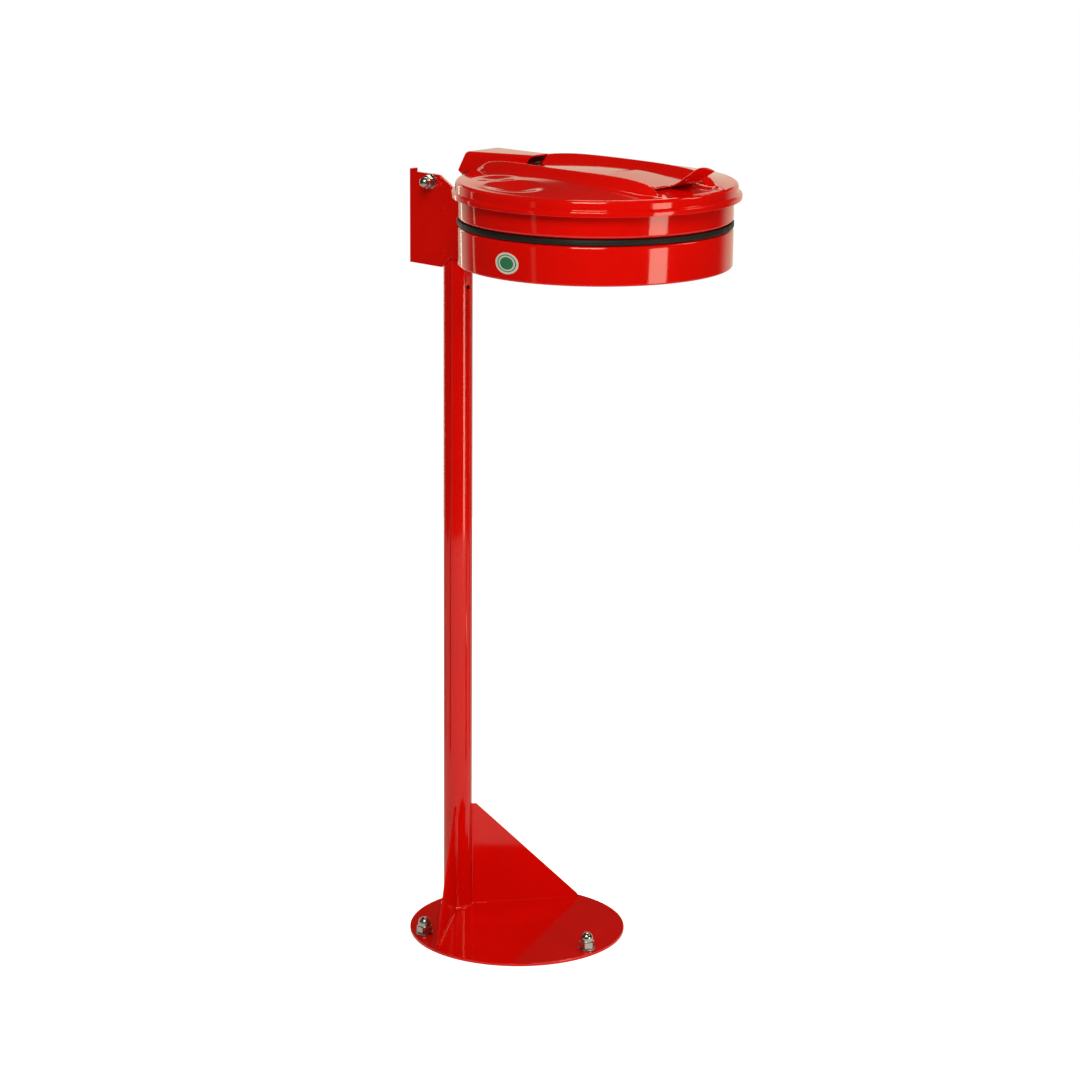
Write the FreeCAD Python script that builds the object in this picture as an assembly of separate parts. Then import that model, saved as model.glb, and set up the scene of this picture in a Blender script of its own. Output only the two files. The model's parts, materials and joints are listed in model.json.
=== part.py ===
"""Free-standing litter-bag holder: foot, pole, bracket, bag ring with elastic strap, hinged lid.

Millimetres, +Z up. The origin is the centre of the round base plate, on its underside.
-Y is the front. The pole stands behind the centre, and the bag ring hangs in front of it.
The head is measured from the pole axis: "forward" runs to the front, "side" is +X.
"""
import FreeCAD, Part
import math
import os

V = FreeCAD.Vector
UP = V(0, 0, 1)
SIDE = V(1, 0, 0)

# ---- foot
base_radius = 150.0
base_thickness = 4.0
pole_setback = 118.5            # pole axis behind the plate's centre
anchor_circle_radius = 134.0
anchor_count = 3
anchor_hole_radius = 7.0        # M12 with 1 mm all round
anchor_washer_bore = 6.5
anchor_thread_radius = 6.0
anchor_across_flats = 19.0
anchor_nut_height = 22.0
anchor_hex_height = 10.0
anchor_washer_radius = 12.0
anchor_washer_thickness = 2.5
gusset_angle = 54.0             # from straight ahead, to each side
gusset_thickness = 3.0
gusset_top = 153.0
gusset_reach = 174.0            # from the pole axis
gusset_top_flat = 7.0
gusset_end_height = 5.0
weld_leg = 4.0
nut_dome_inset = 0.8            # from a cap nut's flats in to its collar
nut_chamfer = 0.96              # where a nut's bevel starts, as a share of its flats

# ---- pole
pole_radius = 20.0
pole_wall = 2.0
pole_top = 1016.0
front_hole_radius = 3.2
front_hole_height = 898.0
cap_flange = 2.5
cap_depth = 14.0
cap_play = 0.1
cap_skirt_wall = 2.0
cap_bolt_gap = 2.0

# ---- bag ring and strap
ring_radius = 180.0
ring_rear = 74.0                # the ring's rearmost point, ahead of the pole axis
ring_wall = 1.5
ring_bottom = 959.0
ring_top = 1058.0
ring_lip = 6.0                  # the turned-in edges at top and bottom
ring_edge_radius = 2.5
groove_bottom = 1010.5
groove_top = 1018.5
groove_depth = 9.0
groove_edge_radius = 5.0
groove_root_radius = 1.0
strap_height = 7.4
strap_proud = 0.6
strap_play = 0.3
strap_edge_radius = 2.0
ferrule_length = 26.0
ferrule_wall = 1.2
sticker_half_width = 19.0
sticker_half_height = 13.8
sticker_thickness = 0.25
sticker_height = 981.5
sticker_angle = 85.5            # round the ring from straight ahead, towards -X

# ---- lid
lid_wall = 1.5
lid_ahead = 2.0                 # the lid's axis ahead of the ring's
lid_lip_width = 5.0
lid_lip_bottom = 1048.0
lid_lip_height = 7.0
lid_lip_edge_radius = 2.0
lid_ring_play = 2.7             # all round the ring, with the lid's axis on the ring's
lid_shoulder_drop = 15.0        # from the crown down to the shoulder
lid_crown = 1083.0
lid_shoulder_inset = 6.0        # from the skirt in to the shoulder
lid_shoulder_edge_radius = 4.0
rib_top_half = 5.0
rib_side_slope = 0.55           # how far a rib's side leans out, for each unit down
rib_spread_middle = 67.0        # the ribs' distance from the lid's middle line
rib_spread_end = 47.0
rib_rise = 6.5                  # above the lid's crown
rib_start_past = 2.0            # behind the lid's skirt
rib_start_drop = 9.5            # below the lid's shoulder
rib_end_inset = 31.0            # from the skirt's front
# Along a rib's crest: in from the skirt's rear or its front, and the height above the crown.
rib_rear_crest = ((23.0, -6.0), (39.0, 0.0), (68.0, 4.0), (103.0, 6.0))
rib_front_crest = ((126.0, 6.4), (87.0, 5.1), (55.0, 3.2), (45.0, 0.5))
dish_inset = 38.0               # from the lid's shoulder in to the dish's middle
dish_behind = 13.0              # behind the lid's axis
dish_half_length = 52.0
dish_half_width = 30.0
dish_depth = 7.0
dish_end_room = 6.0
buffer_radius = 5.0
buffer_gap = 0.3
buffer_count = 3

# ---- hinge and its hood
pin_radius = 4.0
pin_play = 0.05
pin_end = 1.2                   # past the retainers
pin_forward = 48.0
pin_height = 1055.0
hood_wall = 2.0
hood_rear = 47.0
hood_tip = 33.0
hood_front = 154.0
hood_side_gap = 4.1             # between a bush's flange and the hood's side
hood_taper = 15.0               # how much narrower its front half is
hood_rear_top = 1088.2
hood_front_top = 1091.8
hood_front_lean = 11.0          # how far the front's foot stands back from its top
hood_front_lean_drop = 13.0     # over this height
hood_lobe_radius = 7.5
hood_tip_drop = 24.0            # from the top's rear edge down to the tip
hood_foot_height = 1058.0
hood_lobe_neck = 4.0
open_angle = 148.0
stop_gap = 1.0
bush_wall = 1.5
bush_flange = 1.6
bush_flange_radius = 8.0
retainer_radius = 6.5
retainer_thickness = 1.6
retainer_gap = 0.1
plug_length = 22.0
plug_height = 8.0
plug_set_in = 1.0
rivet_radius = 2.4
rivet_head = 1.2
rivet_ahead = 26.0              # of the hood's rear edge
rivet_below = 7.0               # the hood's top

# ---- handle
handle_wall = 1.5
handle_foot_ahead = 36.2        # the foot's rear edge ahead of the lid's axis
handle_foot_rear = (33.0, 0.1, 0.6)     # as below, but for the first value
# Across the handle: in from the lid's front lip, half width, then the heights above the lid's crown
# at its sides and in its middle.
handle_foot_front = (45.0, 46.0, -6.0, -5.4)
handle_tab_sections = ((52.0, 19.5, -5.8, -5.2), (37.0, 20.5, -3.2, -1.8), (25.0, 21.2, 4.4, 7.6),
                       (8.0, 24.0, 13.9, 20.3))

# ---- bracket
plate_thickness = 4.0
plate_pole_gap = 0.3
plate_rear = 69.0               # behind the pole axis
plate_top = 1050.0
plate_bottom = 925.0
plate_notch_height = 940.0
plate_notch_rear = 8.0
plate_notch_front = 8.5
flange_width = 12.0
flange_rise = 3.5
flange_thickness = 3.0
far_plate_rear = 14.0
far_plate_top = 1038.0
ear_radius = 9.0
ear_neck_front = 60.0
ear_rear_shoulder = 4.0         # below the pin
ear_front_shoulder = 2.0
ear_root_relief = 3.0           # keeps the ear clear of the swinging hood
plate_ring_top = 1002.0
plate_ring_overlap = 6.0        # before the ring's curve is cut from the plates
web_forward = 62.0
web_top_gap = 4.0
pole_bolt_radius = 4.0
pole_bolt_heights = (945.0, 1003.0)
pole_bolt_flats = 13.0
pole_bolt_head = 5.3
pole_bolt_end = 0.6             # short of the long plate's outer face
pole_washer_radius = 8.0
pole_washer_thickness = 1.6
fixing_radius = 5.0
fixing_back = 27.0
fixing_height = 1040.0
fixing_flats = 16.0
fixing_head = 6.4
fixing_nut_height = 18.0
fixing_hex_height = 8.0
fixing_washer_radius = 10.0
fixing_washer_thickness = 2.0
fixing_thread_end = 2.0         # past the nut's hexagon
hole_play = 0.5

# ---- values that follow
ring_forward = ring_rear + ring_radius
lid_forward = ring_forward + lid_ahead
lid_skirt_radius = ring_radius + lid_ring_play + lid_wall
lid_lip_radius = lid_skirt_radius + lid_lip_width
lid_shoulder_radius = lid_skirt_radius - lid_shoulder_inset
lid_lip_top = lid_lip_bottom + lid_lip_height
lid_shoulder = lid_crown - lid_shoulder_drop
plate_inner = pole_radius + plate_pole_gap
plate_outer = plate_inner + plate_thickness
plate_front = ring_rear + plate_ring_overlap
groove_radius = ring_radius - groove_depth
strap_inner = groove_radius + strap_play
strap_outer = ring_radius + strap_proud
strap_middle = (groove_bottom + groove_top) / 2
bush_radius = pin_radius + pin_play + bush_wall
hood_rear_half = plate_outer + bush_flange + hood_side_gap + hood_wall
hood_front_half = hood_rear_half - hood_taper


def at(forward, side, height):
    """A point of the head, measured from the pole axis."""
    return V(side, pole_setback - forward, height)


def disc(radius, height, centre, axis=UP):
    return Part.makeCylinder(radius, height, centre, axis)


def tube(outer, inner, height, centre, axis=UP):
    return disc(outer, height, centre, axis).cut(disc(inner, height, centre, axis))


def hexagon(across_flats, height, centre, axis=UP):
    """A hexagonal prism with its corners chamfered as on a nut."""
    corner = across_flats / 2 / math.cos(math.radians(30))
    points = [V(corner * math.cos(math.radians(60 * i)), corner * math.sin(math.radians(60 * i)), 0)
              for i in range(7)]
    prism = Part.Face(Part.makePolygon(points)).extrude(UP * height)
    bevel_radius = corner + height
    bevel_height = bevel_radius - across_flats / 2 * nut_chamfer
    bevel = Part.makeCone(bevel_radius, bevel_radius - bevel_height, bevel_height)
    bevel.translate(UP * (height - bevel_height))
    prism = prism.common(bevel)
    prism.Placement = FreeCAD.Placement(centre, FreeCAD.Rotation(UP, axis))
    return prism


def dome_nut(across_flats, hex_height, total_height, bore_radius, centre, axis=UP):
    """A cap nut: hexagon, round collar and dome, with a blind bore from its base."""
    dome_radius = across_flats / 2 - nut_dome_inset
    straight = total_height - dome_radius - hex_height
    nut = hexagon(across_flats, hex_height, V(0, 0, 0))
    nut = nut.fuse(disc(dome_radius, straight, V(0, 0, hex_height)))
    nut = nut.fuse(Part.makeSphere(dome_radius, V(0, 0, hex_height + straight), UP, 0, 90))
    nut = nut.removeSplitter().cut(disc(bore_radius, total_height - dome_radius, V(0, 0, 0)))
    nut.Placement = FreeCAD.Placement(centre, FreeCAD.Rotation(UP, axis))
    return nut


def prism_from_side(outline, side_low, side_high):
    """Extrude an outline of (forward, height) points across the object."""
    points = [at(f, side_low, h) for f, h in outline]
    face = Part.Face(Part.makePolygon(points + points[:1]))
    return face.extrude(SIDE * (side_high - side_low))


def rounded_wire(corners):
    """A closed wire through (radius, height, rounding) corners, with an arc where rounding isn't 0."""
    edges = []
    ends = []
    for i, (r, h, rounding) in enumerate(corners):
        corner = V(r, 0, h)
        before = V(corners[i - 1][0], 0, corners[i - 1][1]) - corner
        after = V(corners[(i + 1) % len(corners)][0], 0, corners[(i + 1) % len(corners)][1]) - corner
        if not rounding:
            ends.append((corner, corner))
            continue
        half_angle = before.getAngle(after) / 2
        bisector = before.normalize() + after.normalize()
        bisector.normalize()
        cut = rounding / math.tan(half_angle)
        start, end = corner + before * cut, corner + after * cut
        middle = corner + bisector * (rounding / math.sin(half_angle) - rounding)
        edges.append(Part.Arc(start, middle, end).toShape())
        ends.append((start, end))
    for i, (start, end) in enumerate(ends):
        last = ends[i - 1][1]
        if last.distanceToPoint(start) > 1e-6:
            edges.append(Part.makeLine(last, start))
    return Part.Wire(Part.__sortEdges__(edges))


def revolved(corners, centre):
    """Turn an outline of (radius, height, rounding) corners about a vertical axis."""
    solid = Part.Face(rounded_wire(corners)).revolve(V(0, 0, 0), UP, 360)
    solid.translate(V(centre.x, centre.y, 0))
    return solid


def mirrored(shape):
    return shape.mirror(V(0, 0, 0), SIDE)


def group(shapes):
    return Part.makeCompound(shapes)


# ---- foot and pole

def anchor_places():
    step = 360.0 / anchor_count
    for i in range(anchor_count):
        angle = math.radians(step * i - 90)
        yield V(math.cos(angle), math.sin(angle), 0) * anchor_circle_radius + UP * base_thickness


def base_plate():
    plate = disc(base_radius, base_thickness, V(0, 0, 0))
    for place in anchor_places():
        plate = plate.cut(disc(anchor_hole_radius, base_thickness, V(place.x, place.y, 0)))
    return plate


def anchor_washers():
    return group([tube(anchor_washer_radius, anchor_washer_bore, anchor_washer_thickness, place)
                  for place in anchor_places()])


def anchor_dome_nuts():
    seat = UP * anchor_washer_thickness
    return group([dome_nut(anchor_across_flats, anchor_hex_height, anchor_nut_height,
                           anchor_thread_radius, place + seat) for place in anchor_places()])


def pole_tube():
    length = pole_top - base_thickness
    pole = tube(pole_radius, pole_radius - pole_wall, length, at(0, 0, base_thickness))
    pole = pole.cut(disc(front_hole_radius, pole_radius * 1.5, at(0, 0, front_hole_height), V(0, -1, 0)))
    for height in pole_bolt_heights:
        pole = pole.cut(disc(pole_bolt_radius + hole_play, pole_radius * 4,
                             at(0, -pole_radius * 2, height), SIDE))
    return pole


def pole_foot_weld():
    outline = [(pole_radius, base_thickness, 0), (pole_radius + weld_leg, base_thickness, 0),
               (pole_radius, base_thickness + weld_leg, 0)]
    bead = revolved(outline, at(0, 0, 0))
    return bead.cut(gusset(1)).cut(gusset(-1))


def gusset(hand):
    outline = [(0, base_thickness), (gusset_reach, base_thickness),
               (gusset_reach, base_thickness + gusset_end_height),
               (pole_radius + gusset_top_flat, gusset_top), (0, gusset_top)]
    points = [V(-gusset_thickness / 2, -r, h) for r, h in outline]
    plate = Part.Face(Part.makePolygon(points + points[:1])).extrude(SIDE * gusset_thickness)
    plate = plate.cut(disc(pole_radius, gusset_top, V(0, 0, 0)))
    plate.rotate(V(0, 0, 0), UP, hand * gusset_angle)
    plate.translate(V(0, pole_setback, 0))
    return plate


def pole_end_cap():
    plug_radius = pole_radius - pole_wall - cap_play
    flange = disc(pole_radius, cap_flange, at(0, 0, pole_top))
    skirt_depth = min(cap_depth, pole_top - pole_bolt_heights[-1] - pole_bolt_radius - cap_bolt_gap)
    skirt = tube(plug_radius, plug_radius - cap_skirt_wall, skirt_depth, at(0, 0, pole_top - skirt_depth))
    return flange.fuse(skirt)


# ---- bag ring

def ring_axis(height):
    return at(ring_forward, 0, height)


def lid_axis(height):
    return at(lid_forward, 0, height)


def bag_ring():
    """A rolled sheet ring: turned-in edges, and a rolled groove between its two bands."""
    r, w, g = ring_radius, ring_wall, groove_radius
    edge, turn, root = ring_edge_radius, groove_edge_radius, groove_root_radius
    outside = [(r - ring_lip, ring_bottom, 0), (r, ring_bottom, edge), (r, groove_bottom, turn),
               (g, groove_bottom, root), (g, groove_top, root), (r, groove_top, turn),
               (r, ring_top, edge), (r - ring_lip, ring_top, 0)]
    inside = [(r - ring_lip, ring_top - w, 0), (r - w, ring_top - w, edge - w),
              (r - w, groove_top + w, turn - w), (g - w, groove_top + w, root + w),
              (g - w, groove_bottom - w, root + w), (r - w, groove_bottom - w, turn - w),
              (r - w, ring_bottom + w, edge - w), (r - ring_lip, ring_bottom + w, 0)]
    return revolved(outside + inside, ring_axis(0))


def elastic_strap():
    low, high = strap_middle - strap_height / 2, strap_middle + strap_height / 2
    outline = [(strap_inner, low, 0), (strap_outer, low, strap_edge_radius),
               (strap_outer, high, strap_edge_radius), (strap_inner, high, 0)]
    return revolved(outline, ring_axis(0))


def strap_ferrule():
    """A sheet clip that joins the ends of the strap, wrapped over its outer side at the rear."""
    low = strap_middle - strap_height / 2
    band = tube(strap_outer + ferrule_wall, strap_outer, strap_height, ring_axis(low))
    rear = ring_axis(strap_middle - strap_height) + V(-ferrule_length / 2, 0, 0)
    return band.common(Part.makeBox(ferrule_length, 2 * ring_radius, 2 * strap_height, rear))


def oval_sticker():
    angle = math.radians(sticker_angle)
    outward = V(-math.sin(angle), -math.cos(angle), 0)
    skin = tube(ring_radius + sticker_thickness, ring_radius, 2 * sticker_half_height,
                ring_axis(sticker_height - sticker_half_height))
    oval = Part.Ellipse(V(0, 0, 0), sticker_half_width, sticker_half_height).toShape()
    punch = Part.Face(Part.Wire([oval])).extrude(UP * ring_radius * 2)
    turn = FreeCAD.Rotation(UP.cross(outward), UP, outward, "ZXY")
    punch.Placement = FreeCAD.Placement(ring_axis(sticker_height), turn)
    return skin.common(punch)


# ---- lid

def lid_outline(t):
    """The lid's side from its lip to above its crown, brought in by t. The cavity opens downwards."""
    low = lid_lip_bottom - t
    above = lid_crown + rib_rise
    edge = max(lid_lip_edge_radius - t, 0)
    shoulder = lid_shoulder_radius - t / 2
    return [(0, low, 0), (lid_lip_radius - t, low, 0), (lid_lip_radius - t, lid_lip_top - t, edge),
            (lid_skirt_radius - t, lid_lip_top - t, 0),
            (lid_skirt_radius - t, lid_shoulder - t, lid_shoulder_edge_radius),
            (shoulder, lid_shoulder - t, 0), (shoulder, above, 0), (0, above, 0)]


def dome(t):
    """The large sphere that the lid's top is part of, brought in by t."""
    r, d = lid_shoulder_radius, lid_shoulder_drop
    dome_radius = (r * r + d * d) / (2 * d)
    centre = lid_axis(lid_crown - dome_radius)
    return Part.makeSphere(dome_radius - t, centre, SIDE)


def rib(t):
    """One raised rib of the lid, on the +X side, brought in by t: a bowed ridge, highest in its middle."""
    rear, front = lid_forward - lid_skirt_radius, lid_forward + lid_skirt_radius
    rib_start = lid_skirt_radius + rib_start_past
    bow = rib_spread_middle - rib_spread_end
    bow_radius = (rib_start ** 2 + bow ** 2) / (2 * bow)
    top = lid_crown + rib_rise - t
    top_half = rib_top_half - t * (math.hypot(1.0, rib_side_slope) - rib_side_slope)
    foot_half = top_half + rib_side_slope * (top - lid_lip_top)
    ridge = revolved([(bow_radius - foot_half, lid_lip_top, 0), (bow_radius + foot_half, lid_lip_top, 0),
                      (bow_radius + top_half, top, 0), (bow_radius - top_half, top, 0)],
                     at(lid_forward, rib_spread_middle - bow_radius, 0))
    start, end = rear - rib_start_past + t, front - rib_end_inset - t
    outline = [(start, lid_lip_top), (start, lid_shoulder - rib_start_drop - t)]
    outline += [(rear + inset, lid_crown + rise - t) for inset, rise in rib_rear_crest]
    outline += [(front - inset, lid_crown + rise - t) for inset, rise in rib_front_crest]
    outline += [(end, lid_shoulder - t), (end, lid_lip_top)]
    limit = disc(lid_skirt_radius - t, lid_crown + rib_rise, lid_axis(0))
    return ridge.common(prism_from_side(outline, 0, lid_skirt_radius)).common(limit)


def dish(t):
    """The oval hollow pressed into the lid outside each rib, on the +X side: part of a long barrel."""
    d = dish_depth
    cross_radius = (dish_half_width ** 2 + d * d) / (2 * d) + t
    long_radius = (dish_half_length ** 2 + d * d) / (2 * d) + t
    half = dish_half_length + 2 * t + dish_end_room
    end_radius = cross_radius - long_radius + math.sqrt(long_radius ** 2 - half ** 2)
    bulge = Part.Arc(V(end_radius, half, 0), V(cross_radius, 0, 0), V(end_radius, -half, 0)).toShape()
    corners = [V(end_radius, -half, 0), V(0, -half, 0), V(0, half, 0), V(end_radius, half, 0)]
    edges = [Part.makeLine(a, b) for a, b in zip(corners, corners[1:])]
    barrel = Part.Face(Part.Wire([bulge] + edges)).revolve(V(0, 0, 0), V(0, 1, 0), 360)
    dish_side = lid_shoulder_radius - dish_inset
    away = math.hypot(dish_side, dish_behind)
    surface = lid_crown - lid_shoulder_drop * (away / lid_shoulder_radius) ** 2
    barrel.translate(at(lid_forward - dish_behind, dish_side, surface - d + cross_radius - t))
    return barrel


def lid_form(t):
    """The solid inside the lid's outer skin, brought in by t."""
    form = revolved(lid_outline(t), lid_axis(0)).common(dome(t))
    for one in (rib(t), mirrored(rib(t))):
        form = form.fuse(one)
    for one in (dish(t), mirrored(dish(t))):
        form = form.cut(one)
    return form.removeSplitter()


def lid_shell():
    return lid_form(0.0).cut(lid_form(lid_wall))


def lid_buffers():
    """Rubber pads under the lid, just above the ring's rim."""
    pads = []
    inside = lid_form(lid_wall)
    for i in range(buffer_count):
        angle = 2 * math.pi * i / buffer_count
        outward = V(math.cos(angle), -math.sin(angle), 0)
        spot = ring_axis(ring_top + buffer_gap) + outward * (ring_radius - buffer_radius)
        pads.append(disc(buffer_radius, lid_crown - ring_top, spot).common(inside))
    return group(pads)


# ---- hinge hood

def hood_half(forward):
    share = (forward - hood_rear) / (hood_front - hood_rear)
    return hood_rear_half + (hood_front_half - hood_rear_half) * share


def hood_top(forward):
    share = (forward - hood_rear) / (hood_front - hood_rear)
    return hood_rear_top + (hood_front_top - hood_rear_top) * share


def hood_block(t):
    """The hood's tapered block, brought in by t at its top and sides."""
    low = pin_height - 3 * hood_lobe_radius
    sections = []
    for forward in (hood_tip - 1.0, hood_front + 1.0):
        half = hood_half(forward) - t
        top = hood_top(forward) - t
        points = [at(forward, -half, low), at(forward, half, low), at(forward, half, top),
                  at(forward, -half, top)]
        sections.append(Part.makePolygon(points + points[:1]))
    return Part.makeLoft(sections, True, True)


def hinge_hood():
    """A folded channel, open below: fixed on the lid in front, and pierced for the pin behind."""
    lobe_rear, lobe_front = pin_forward - hood_lobe_radius, pin_forward + hood_lobe_radius
    above = hood_front_top + hood_wall
    outline = [(hood_rear, above), (hood_front, above), (hood_front, hood_front_top),
               (hood_front - hood_front_lean, hood_front_top - hood_front_lean_drop),
               (hood_front - hood_front_lean, hood_foot_height),
               (lobe_front + hood_lobe_neck, hood_foot_height), (lobe_front, pin_height),
               (lobe_rear, pin_height), (hood_tip, hood_rear_top - hood_tip_drop), (hood_rear, hood_rear_top)]
    wide = hood_rear_half * 2
    hood = hood_block(0.0).common(prism_from_side(outline, -wide, wide))
    lobe = disc(hood_lobe_radius, 2 * wide, at(pin_forward, -wide, pin_height), SIDE)
    hood = hood.fuse(hood_block(0.0).common(lobe)).cut(hood_block(hood_wall))
    hood = hood.cut(lid_form(0.0))
    return hood.cut(disc(pin_radius, 2 * wide, at(pin_forward, -wide, pin_height), SIDE)).removeSplitter()


def hinge_pin():
    half = hood_half(pin_forward) + retainer_thickness + pin_end
    return disc(pin_radius, 2 * half, at(pin_forward, -half, pin_height), SIDE)


def pin_retainers():
    start = hood_half(pin_forward - retainer_radius) + retainer_gap
    one = tube(retainer_radius, pin_radius, retainer_thickness, at(pin_forward, start, pin_height), SIDE)
    return group([one, mirrored(one)])


def hinge_bushes():
    """Flanged bushes in the bracket's ears; their flanges keep the hood's sides off the ears."""
    bore = pin_radius + pin_play
    body = tube(bush_radius, bore, plate_thickness, at(pin_forward, plate_inner, pin_height), SIDE)
    flange = tube(bush_flange_radius, bore, bush_flange, at(pin_forward, plate_outer, pin_height), SIDE)
    one = body.fuse(flange)
    return group([one, mirrored(one)])


def hood_plug():
    """The rubber stop that closes the front of the hood and leans back with it."""
    depth = hood_wall + plug_height
    low = hood_front_top - depth
    front, rear = hood_front - plug_set_in, hood_front - plug_set_in - plug_length
    foot = front - hood_front_lean * depth / hood_front_lean_drop
    room = prism_from_side([(rear, low), (foot, low), (front, hood_front_top), (rear, hood_front_top)],
                           -hood_rear_half, hood_rear_half)
    return hood_block(hood_wall).common(room).cut(lid_form(0.0))


def hood_rivets():
    """Round heads on the hood's two sides."""
    forward, height = hood_rear + rivet_ahead, hood_rear_top - rivet_below
    face = hood_half(forward)
    stub = disc(rivet_radius, hood_wall + rivet_head, at(forward, face - hood_wall, height), SIDE)
    heads = [piece for piece in stub.cut(hood_block(0.0)).Solids if piece.CenterOfMass.x > face]
    return group(heads + [mirrored(piece) for piece in heads])


# ---- handle

def arch(inset, half, side_rise, middle_rise):
    """A closed strip section across the handle: an arc on top and one below it."""
    t = handle_wall
    forward = lid_forward + lid_lip_radius - inset
    side_height, middle_height = lid_crown + side_rise, lid_crown + middle_rise
    top = Part.Arc(at(forward, -half, side_height), at(forward, 0, middle_height),
                   at(forward, half, side_height)).toShape()
    low = Part.Arc(at(forward, half, side_height - t), at(forward, 0, middle_height - t),
                   at(forward, -half, side_height - t)).toShape()
    right = Part.makeLine(at(forward, half, side_height), at(forward, half, side_height - t))
    left = Part.makeLine(at(forward, -half, side_height - t), at(forward, -half, side_height))
    return Part.Wire([top, right, low, left])


def lid_handle():
    """A flat foot on the lid between the ribs' front ends, with a flared tab curving up in its middle."""
    rear = arch(lid_lip_radius - handle_foot_ahead, *handle_foot_rear)
    foot = Part.makeLoft([rear, arch(*handle_foot_front)], True, True)
    tab = Part.makeLoft([arch(*section) for section in handle_tab_sections], True, True)
    handle = foot.fuse(tab).cut(lid_form(0.0))
    return max(handle.Solids, key=lambda piece: piece.Volume).removeSplitter()


# ---- bracket

def open_slope():
    """Two points of the line on which the open lid's hood comes to rest, rear point first."""
    turn = math.radians(open_angle)
    line = []
    for forward in (hood_front, hood_rear):
        f = forward - pin_forward
        h = hood_top(forward) + stop_gap - pin_height
        line.append((pin_forward + f * math.cos(turn) - h * math.sin(turn),
                     pin_height + f * math.sin(turn) + h * math.cos(turn)))
    return line


def on_slope(height=None, forward=None):
    (f0, h0), (f1, h1) = open_slope()
    if height is not None:
        return f0 + (height - h0) * (f1 - f0) / (h1 - h0), height
    return forward, h0 + (forward - f0) * (h1 - h0) / (f1 - f0)


def ear_outline():
    """The ear that carries the pin, down to where the plate meets the ring."""
    behind = pin_forward - ear_radius
    return [on_slope(forward=behind - ear_root_relief), (behind, pin_height - ear_rear_shoulder),
            (pin_forward + ear_radius, pin_height - ear_front_shoulder), (ear_neck_front, plate_ring_top)]


def plate_pieces(outline, inner):
    """A bracket plate on the +X side with its ear, holes and the ring's curve cut out."""
    plate = prism_from_side(outline, inner, inner + plate_thickness)
    ear = disc(ear_radius, plate_thickness, at(pin_forward, inner, pin_height), SIDE)
    plate = plate.fuse(ear).removeSplitter()
    plate = plate.cut(disc(ring_radius, ring_top, ring_axis(0)))
    return plate.cut(disc(bush_radius, 4 * inner, at(pin_forward, 0, pin_height), SIDE))


def side_plate():
    """The long plate beside the pole, on -X, with a return flange along its rear edge."""
    outline = [(-plate_rear, plate_bottom), (-plate_notch_rear, plate_bottom),
               (plate_notch_front, plate_notch_height), (plate_front, plate_notch_height),
               (plate_front, plate_ring_top)] + ear_outline()[::-1]
    outline += [on_slope(height=plate_top), (-plate_rear, plate_top)]
    plate = plate_pieces(outline, plate_inner)
    for height in pole_bolt_heights:
        plate = plate.cut(disc(pole_bolt_radius, 4 * plate_inner, at(0, 0, height), SIDE))
    fixing_hole = disc(fixing_radius + hole_play, 4 * plate_inner, at(-fixing_back, 0, fixing_height), SIDE)
    plate = plate.cut(fixing_hole)
    return mirrored(plate).fuse(rear_flange()).removeSplitter()


def rear_flange():
    front, top = -plate_rear + flange_thickness, plate_top + flange_rise
    outline = [(-plate_rear, plate_bottom), (front, plate_bottom), (front, top), (-plate_rear, top)]
    return prism_from_side(outline, -plate_outer, -plate_outer + flange_width)


def far_plate():
    """The short plate on the pole's other side, on +X."""
    outline = [(-far_plate_rear, plate_notch_height), (plate_front, plate_notch_height),
               (plate_front, plate_ring_top)] + ear_outline()[::-1]
    outline += [on_slope(height=far_plate_top), (-far_plate_rear, far_plate_top)]
    plate = plate_pieces(outline, plate_inner)
    for height in pole_bolt_heights:
        plate = plate.cut(disc(pole_bolt_radius + hole_play, 4 * plate_inner, at(0, 0, height), SIDE))
    return plate


def bracket_web():
    """The cross plate that joins the two bracket plates behind the ring."""
    outline = [(web_forward, plate_notch_height), (web_forward + plate_thickness, plate_notch_height),
               (web_forward + plate_thickness, plate_ring_top - web_top_gap),
               (web_forward, plate_ring_top - web_top_gap)]
    return prism_from_side(outline, -plate_inner, plate_inner)


def pole_bolts():
    """Two bolts from the short plate's side, screwed into the long plate."""
    bolts = []
    for height in pole_bolt_heights:
        seat = plate_outer + pole_washer_thickness
        start = pole_bolt_end - plate_outer
        shank = disc(pole_bolt_radius, seat - start, at(0, start, height), SIDE)
        head = hexagon(pole_bolt_flats, pole_bolt_head, at(0, seat, height), SIDE)
        bolts.append(shank.fuse(head))
    return group(bolts)


def pole_bolt_washers():
    return group([tube(pole_washer_radius, pole_bolt_radius + hole_play, pole_washer_thickness,
                       at(0, plate_outer, height), SIDE) for height in pole_bolt_heights])


def fixing_bolt():
    """The bolt behind the pole, its head inside the long plate and its nut outside."""
    inside = plate_inner - fixing_washer_thickness
    length = plate_thickness + 2 * fixing_washer_thickness + fixing_hex_height + fixing_thread_end
    shank = disc(fixing_radius, length, at(-fixing_back, -inside, fixing_height), V(-1, 0, 0))
    head = hexagon(fixing_flats, fixing_head, at(-fixing_back, -inside, fixing_height), SIDE)
    return shank.fuse(head)


def fixing_washers():
    starts = (-plate_inner, -plate_outer - fixing_washer_thickness)
    return group([tube(fixing_washer_radius, fixing_radius + hole_play, fixing_washer_thickness,
                       at(-fixing_back, start, fixing_height), SIDE) for start in starts])


def fixing_dome_nut():
    seat = -plate_outer - fixing_washer_thickness
    return dome_nut(fixing_flats, fixing_hex_height, fixing_nut_height, fixing_radius,
                    at(-fixing_back, seat, fixing_height), V(-1, 0, 0))


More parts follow.
